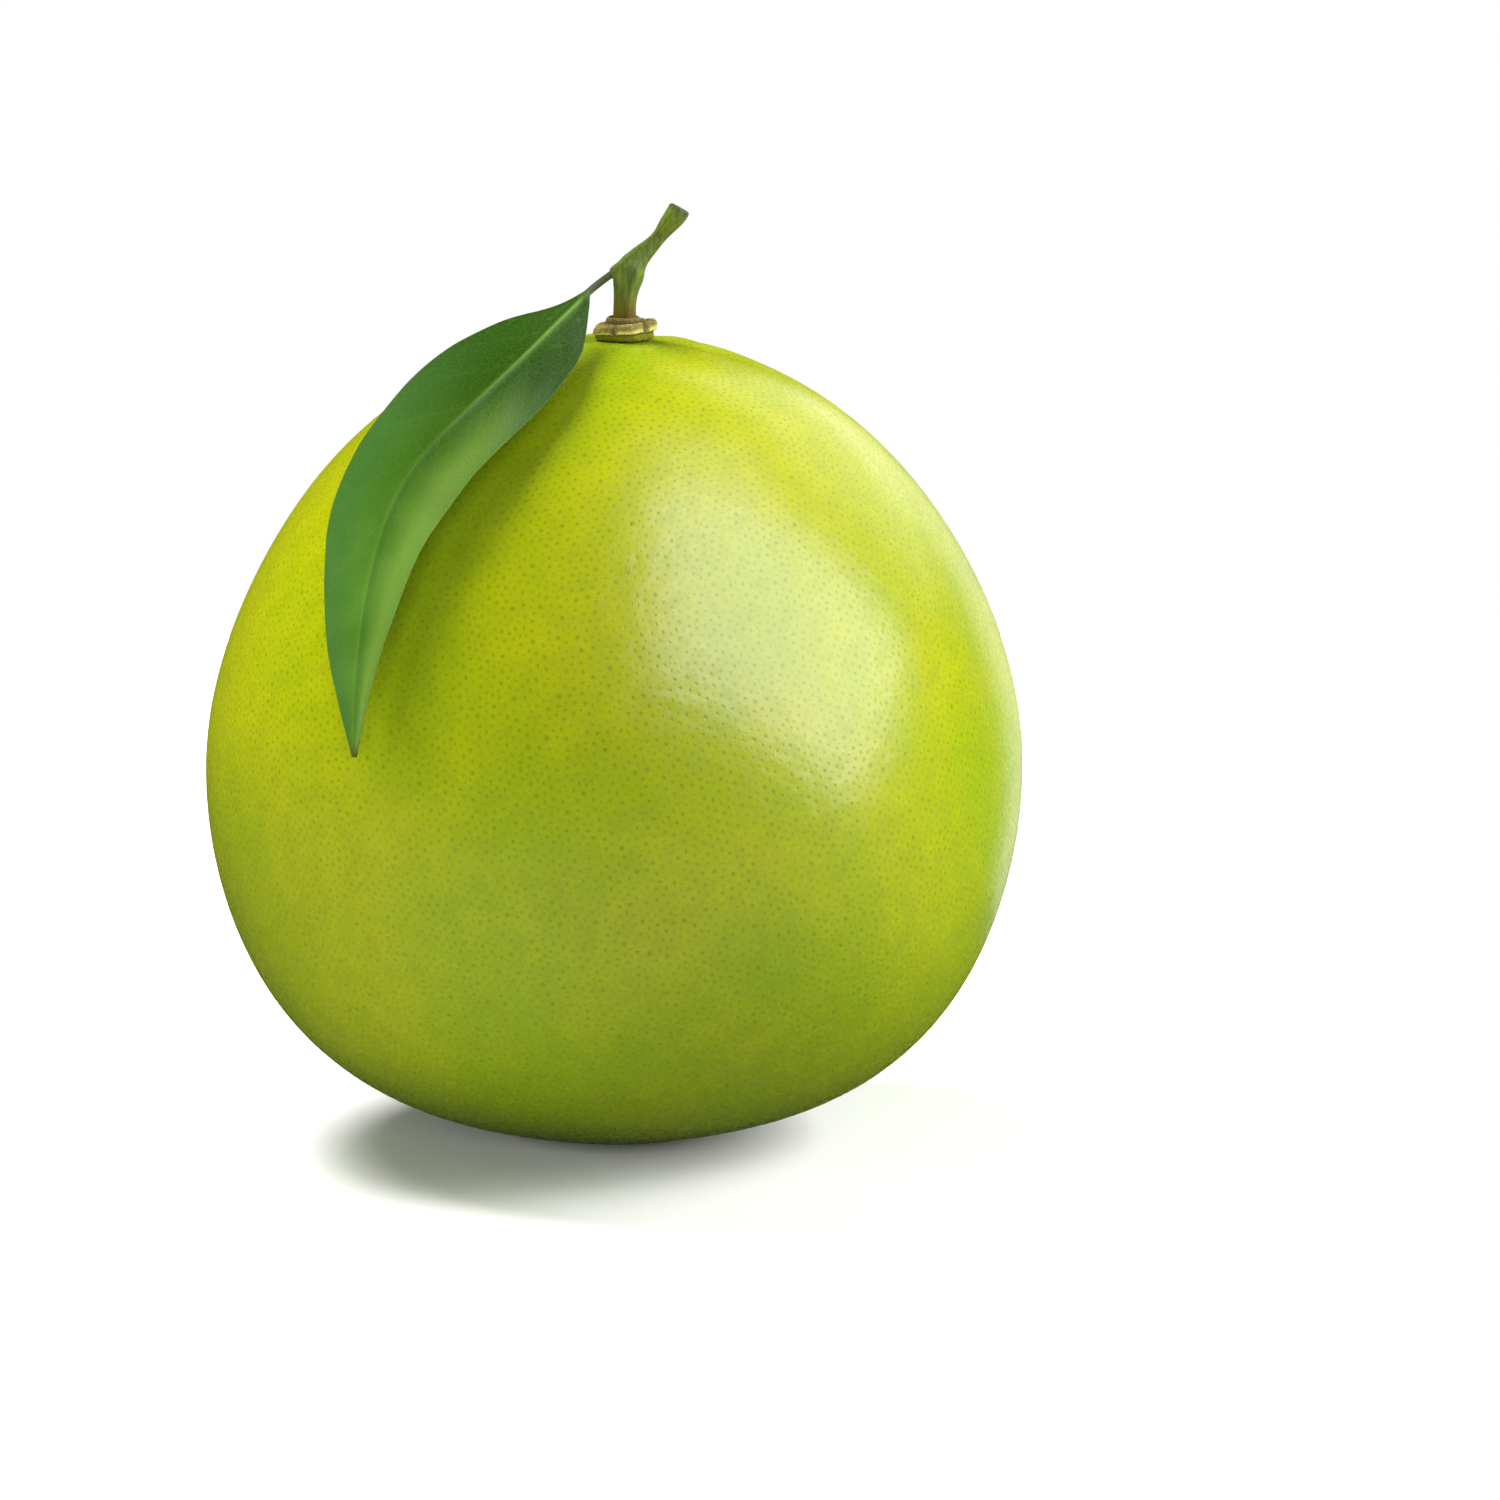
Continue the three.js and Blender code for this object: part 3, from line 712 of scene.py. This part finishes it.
def fused(parts):
    """One skin round overlapping closed tubes, in millimetres: its points and faces."""
    points, faces, start = [], [], 0
    for part_points, part_faces in parts:
        points.append(part_points)
        faces += [[start + corner for corner in face] for face in part_faces]
        start += len(part_points)
    mesh = bpy.data.meshes.new("fuse")
    mesh.from_pydata(np.vstack(points).tolist(), [], faces)
    holder = bpy.data.objects.new("fuse", mesh)
    bpy.context.scene.collection.objects.link(holder)
    remesh = holder.modifiers.new("fuse", "REMESH")
    remesh.mode = "VOXEL"
    remesh.voxel_size = TWIG_VOXEL
    made = bpy.data.meshes.new_from_object(holder.evaluated_get(bpy.context.evaluated_depsgraph_get()))
    bpy.data.objects.remove(holder)
    points = np.empty(len(made.vertices) * 3)
    made.vertices.foreach_get("co", points)
    points = points.reshape(-1, 3)
    faces = [list(face.vertices) for face in made.polygons]
    edges = np.array([edge.vertices[:] for edge in made.edges])
    bpy.data.meshes.remove(made)
    bpy.data.meshes.remove(mesh)
    return relaxed(points, edges, 5), faces


def relaxed(points, edges, rounds):
    """Points after so many rounds in which each goes half way to the middle of its neighbours."""
    count = np.bincount(edges.ravel(), minlength=len(points))[:, None]
    for _ in range(rounds):
        total = np.zeros_like(points)
        np.add.at(total, edges[:, 0], points[edges[:, 1]])
        np.add.at(total, edges[:, 1], points[edges[:, 0]])
        points = 0.5 * points + 0.5 * total / count
    return points


def twig_piece():
    path = on_calyx(TWIG)
    path[0, 2] -= GAP + 0.3
    share = np.linspace(0, 1, TWIG_STEPS)
    places, directions = smooth_curve(path, share)
    radii = along(np.column_stack([shares_along(path), [row[3] for row in TWIG]]), share)
    left = (1 - share) * np.linalg.norm(np.diff(places, axis=0), axis=1).sum()
    radii = radii - np.maximum(0, 1 - left / TWIG_END_ROUND) * TWIG_END_ROUND
    points, faces = fused([closed_tube(places, directions, radii), stub(LEAF_SEAT), stub(BUD)])
    fine, ways = smooth_curve(path, np.linspace(0, 1, 500))
    nearest = np.array([np.argmin(((fine - point) ** 2).sum(axis=1)) for point in points])
    share = nearest / 499
    first, second = frames_along(ways)
    off = points - fine[nearest]
    across, beside = (off * first[nearest]).sum(axis=1), (off * second[nearest]).sum(axis=1)
    turn, reach = np.arctan2(beside, across), np.hypot(across, beside)
    own = along(np.column_stack([shares_along(path), [row[3] for row in TWIG]]), share)
    end = smooth(share, 0.985, 0.998)
    ridge = 0.07 * np.sin(5 * turn + 3 * share) + 0.05 * np.sin(9 * turn - 5 * share + 1)
    ridge = ridge + 0.022 * np.sin(17 * turn + 9 * share) + 0.04 * np.sin(23 * share + 1.5 * np.sin(turn))
    outward = unit(off * (1 - end[:, None]) + 1e-9)
    points = points + outward * (ridge * (1 - end) * smooth(share, 0, 0.06))[:, None]
    hollow = end * smooth(own - reach, 0.25, 0.9) * 0.3
    points = points - ways[nearest] * (hollow + 0.05 * end)[:, None]
    marks = {
        "foot": 1 - smooth(share, 0.06, 0.28),
        "joint": 1 - smooth(points[:, 0], -1.1, 0.6),
        "cut": end * smooth(own - reach, 0.1, 0.4) + 0.75 * smooth(share, 0.93, 0.985) * (1 - end),
    }
    return mesh_piece("twig_bark", points, faces, twig_material(), **marks)


# ---------------------------------------------------------------- leaf


def leaf_axes(centre, tangent, s):
    out = unit(centre - [0, 0, WIDEST_HEIGHT])
    across = unit(np.cross(out, tangent))
    up = np.cross(tangent, across)
    roll = np.radians(along(ROLL, s))[:, None]
    return across * np.cos(roll) + up * np.sin(roll), up * np.cos(roll) - across * np.sin(roll)


def leaf_piece():
    share = np.linspace(0, 1, LEAF_STEPS + 1)
    s = np.clip((share - STALK_SHARE) / (1 - STALK_SHARE), 0, 1)
    centre, tangent = smooth_curve(RIB, share)
    across, up = leaf_axes(centre, tangent, s)
    centre[0] -= tangent[0] * STALK_SUNK
    strip = np.linspace(-1, 1, LEAF_STRIPS + 1)
    u = (np.sign(strip) * np.abs(strip) ** 1.3)[None, :]
    s = s[:, None]
    width = np.where(u > 0, along(HALF_WIDTHS, s, 2), along(HALF_WIDTHS, s, 1))
    reach = np.abs(u) * width
    flat = smooth(s, 0, STALK_FLATTENS)
    shown = smooth(width, RELIEF_FROM, RELIEF_FULL)
    turns = np.where(u > 0, WAVE_TURNS[1], WAVE_TURNS[0])
    wave = EDGE_WAVE * u * u * np.sin(2 * math.pi * WAVES * s + turns)
    lines = VEIN_PAIRS * (s - VEIN_SLANT * np.abs(u)) + np.where(u > 0, 0.18, -0.14)
    quilt = 0.35 * VEIN_HEIGHT * np.cos(2 * math.pi * lines) * np.sin(math.pi * np.abs(u))
    lie = shown * (quilt + wave) - math.tan(math.radians(FOLD)) * reach - DROOP * reach**2
    spacing = 118 / VEIN_PAIRS
    from_side = np.abs(lines - np.floor(lines) - 0.5) * spacing
    side = np.exp(-((from_side / 0.42) ** 2)) * (1 - smooth(np.abs(u), 0.7, 0.96)) * shown * flat
    main = np.exp(-((reach / lerp(0.46, 0.24, s)) ** 2)) * flat
    rib = RIB_THICKNESS * (1 - RIB_TAPER * s) * np.exp(-((reach / RIB_WIDTH) ** 2))
    half = lerp(0.3, 0.12, smooth(np.abs(u), 0.7, 1))
    round_half = np.sqrt(np.maximum(1 - u * u, 0)) * STALK_RADIUS
    groove = 0.12 * np.exp(-(((reach - 1.15) / 0.55) ** 2)) * (1 - 0.6 * s)
    top = lerp(round_half, half + 0.12 * main - groove - 0.03 * side, flat)
    bottom = lerp(round_half, half + 0.85 * rib + 0.12 * side, flat)
    middle = centre[:, None] + across[:, None] * (u * width)[..., None] + up[:, None] * (flat * lie)[..., None]
    upper = middle + up[:, None] * top[..., None]
    lower = middle - up[:, None] * bottom[..., None]
    rows, columns = upper.shape[:2]
    points = np.vstack([upper.reshape(-1, 3), lower.reshape(-1, 3)])
    painted_sheen_at = lerp(0.6, 0.78, smooth(s, 0.34, 0.5))
    veins = np.clip(main * lerp(0.9, 0.2, smooth(s, 0.2, 0.55)) + 0.08 * side, 0, 1).ravel()
    marks = {
        "vein": np.concatenate([veins, veins]),
        "under": np.concatenate([np.zeros(rows * columns), np.ones(rows * columns)]),
        "edge": np.tile((smooth(-u, 0.1, 0.9) * smooth(s, 0.15, 0.5)).ravel(), 2),
        # painted sheen: where the pale band of painted light lies across the upper side
        "pale": np.tile((np.exp(-(((u - painted_sheen_at) / 0.4) ** 2)) * smooth(s, 0.28, 0.54)).ravel(), 2),
        # painted shade: the front half of the blade near the stalk
        "painted_shade": np.tile((smooth(u, 0, 0.5) * (1 - smooth(s, 0.16, 0.4))).ravel(), 2),
        "base": np.tile((1 - smooth(s, 0.2, 0.85)).repeat(columns, 1).ravel(), 2),
        "stalk": np.tile((1 - smooth(s, 0.005, 0.035)).repeat(columns, 1).ravel(), 2),
        "tip": np.tile(smooth(s, 0.975, 1).repeat(columns, 1).ravel(), 2),
    }
    return mesh_piece("leaf_blade", points, slab_faces(rows, columns), leaf_material(), **marks)


def slab_faces(rows, columns):
    """Faces of a closed slab between two grids of points, one after the other."""
    under = rows * columns
    faces = []
    for i in range(rows - 1):
        for j in range(columns - 1):
            a, b = i * columns + j, i * columns + j + 1
            c, d = b + columns, a + columns
            faces.append([a, d, c, b])
            faces.append([under + a, under + b, under + c, under + d])
        first, last = i * columns, i * columns + columns - 1
        faces.append([first, under + first, under + first + columns, first + columns])
        faces.append([last, last + columns, under + last + columns, under + last])
    for j in range(columns - 1):
        far = (rows - 1) * columns + j
        faces.append([j, j + 1, under + j + 1, under + j])
        faces.append([far, under + far, under + far + 1, far + 1])
    return faces


# ---------------------------------------------------------------- stage, light and camera


def floor_piece():
    """A round floor. Gloss doesn't mirror it, as if the room beyond it were darker."""
    around = np.linspace(0, 2 * math.pi, FLOOR_SIDES, endpoint=False)
    rim = [(FLOOR_RADIUS * math.cos(turn), FLOOR_RADIUS * math.sin(turn), 0) for turn in around]
    mesh = bpy.data.meshes.new("floor")
    mesh.from_pydata(rim, [], [list(range(FLOOR_SIDES))])
    mesh.materials.append(floor_material())
    floor = bpy.data.objects.new("floor", mesh)
    floor.visible_glossy = False
    bpy.context.scene.collection.objects.link(floor)
    return floor


def soft_light(name, way, far, size, watts, glossy=False, turn=0, colour=(1, 1, 1)):
    """A soft box that faces the fruit's middle, that many metres away, turned by degrees about that line.
    It lights dull surfaces or shows in glossy ones, as a studio's separate lamps and flags do."""
    data = bpy.data.lights.new(name, "AREA")
    data.shape = "RECTANGLE"
    data.size, data.size_y = size
    data.energy = watts
    data.color = colour
    data.cycles.use_multiple_importance_sampling = glossy
    light = bpy.data.objects.new(name, data)
    way = Vector(way).normalized()
    light.location = way * far + Vector((0, 0, WIDEST_HEIGHT * MM))
    facing = way.to_track_quat("Z", "Y") @ Quaternion((0, 0, 1), math.radians(turn))
    light.rotation_euler = facing.to_euler()
    light.visible_glossy = glossy
    light.visible_diffuse = not glossy
    light.visible_camera = False
    bpy.context.scene.collection.objects.link(light)


def room():
    """White where the camera sees it, dimmer as a source of light."""
    world = bpy.data.worlds.new("studio")
    world.use_nodes = True
    tree = world.node_tree
    background = tree.nodes["Background"]
    background.inputs["Color"].default_value = (1, 1, 1, 1)
    seen = tree.nodes.new("ShaderNodeLightPath").outputs["Is Camera Ray"]
    strength = tree.nodes.new("ShaderNodeMapRange")
    strength.inputs["To Min"].default_value = ROOM_LIGHT
    tree.links.new(seen, strength.inputs["Value"])
    tree.links.new(strength.outputs["Result"], background.inputs["Strength"])
    bpy.context.scene.world = world


def lights():
    soft_light("window", (0.697, -0.406, 0.591), 1.22, (1.7, 1.22), 19, glossy=True, turn=-45, colour=DAYLIGHT)
    soft_light("window_top", (0.38, 0.04, 0.92), 1.4, (0.66, 0.5), 1.1, glossy=True, turn=-72, colour=DAYLIGHT)
    soft_light("rim", (0.45, 0.88, 0.06), 1.3, (0.55, 1.0), 1.5, glossy=True)
    soft_light("rim_top", (0.52, 0.66, 0.56), 1.3, (0.95, 0.8), 1.9, glossy=True)
    soft_light("top", (-0.4, 0.3, 0.87), 1.5, (0.7, 0.7), 41)
    soft_light("right", (0.95, 0.12, 0.42), 1.3, (0.9, 0.9), 37)
    soft_light("left", (-0.95, -0.3, 0.02), 1.5, (0.9, 0.9), 15)
    soft_light("front", (-0.1, -0.98, 0.1), 1.6, (1.3, 0.9), 20.5)
    room()


def camera():
    """Looks down a little, with the fruit's middle left of and below the frame's."""
    down = math.radians(CAMERA_DOWN)
    right = np.array([1, 0, 0])
    ahead = np.array([0, math.cos(down), -math.sin(down)])
    up = np.array([0, math.sin(down), math.cos(down)])
    middle = FRAME_PX / 2
    place = np.array([0, 0, WIDEST_HEIGHT]) - ahead * CAMERA_FAR
    place = place - right * (FRUIT_AT_PX[0] - middle) / FRUIT_PX - up * (middle - FRUIT_AT_PX[1]) / FRUIT_PX
    data = bpy.data.cameras.new("camera")
    data.sensor_width = SENSOR
    data.lens = SENSOR * FRUIT_PX * CAMERA_FAR / FRAME_PX
    data.clip_start, data.clip_end = 0.05, 50
    eye = bpy.data.objects.new("camera", data)
    eye.location = place * MM
    eye.rotation_euler = (math.radians(90 - CAMERA_DOWN), 0, 0)
    bpy.context.scene.collection.objects.link(eye)
    bpy.context.scene.camera = eye


# ---------------------------------------------------------------- the whole

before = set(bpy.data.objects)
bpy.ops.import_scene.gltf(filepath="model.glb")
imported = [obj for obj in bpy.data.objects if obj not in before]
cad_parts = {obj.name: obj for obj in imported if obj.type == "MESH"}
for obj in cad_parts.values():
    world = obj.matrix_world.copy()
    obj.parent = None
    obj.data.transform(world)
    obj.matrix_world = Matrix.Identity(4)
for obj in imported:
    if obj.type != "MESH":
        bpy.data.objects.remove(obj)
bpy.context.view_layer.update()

camera()
lights()
floor_piece()

for piece, node, slot in (
    (fruit_piece(), "fruit", "rind"),
    (calyx_piece(), "calyx", "calyx"),
    (twig_piece(), "twig", "twig"),
    (leaf_piece(), "leaf", "leaf"),
):
    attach(piece, "root")
    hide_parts(node)

bpy.context.scene.view_settings.view_transform = "Standard"
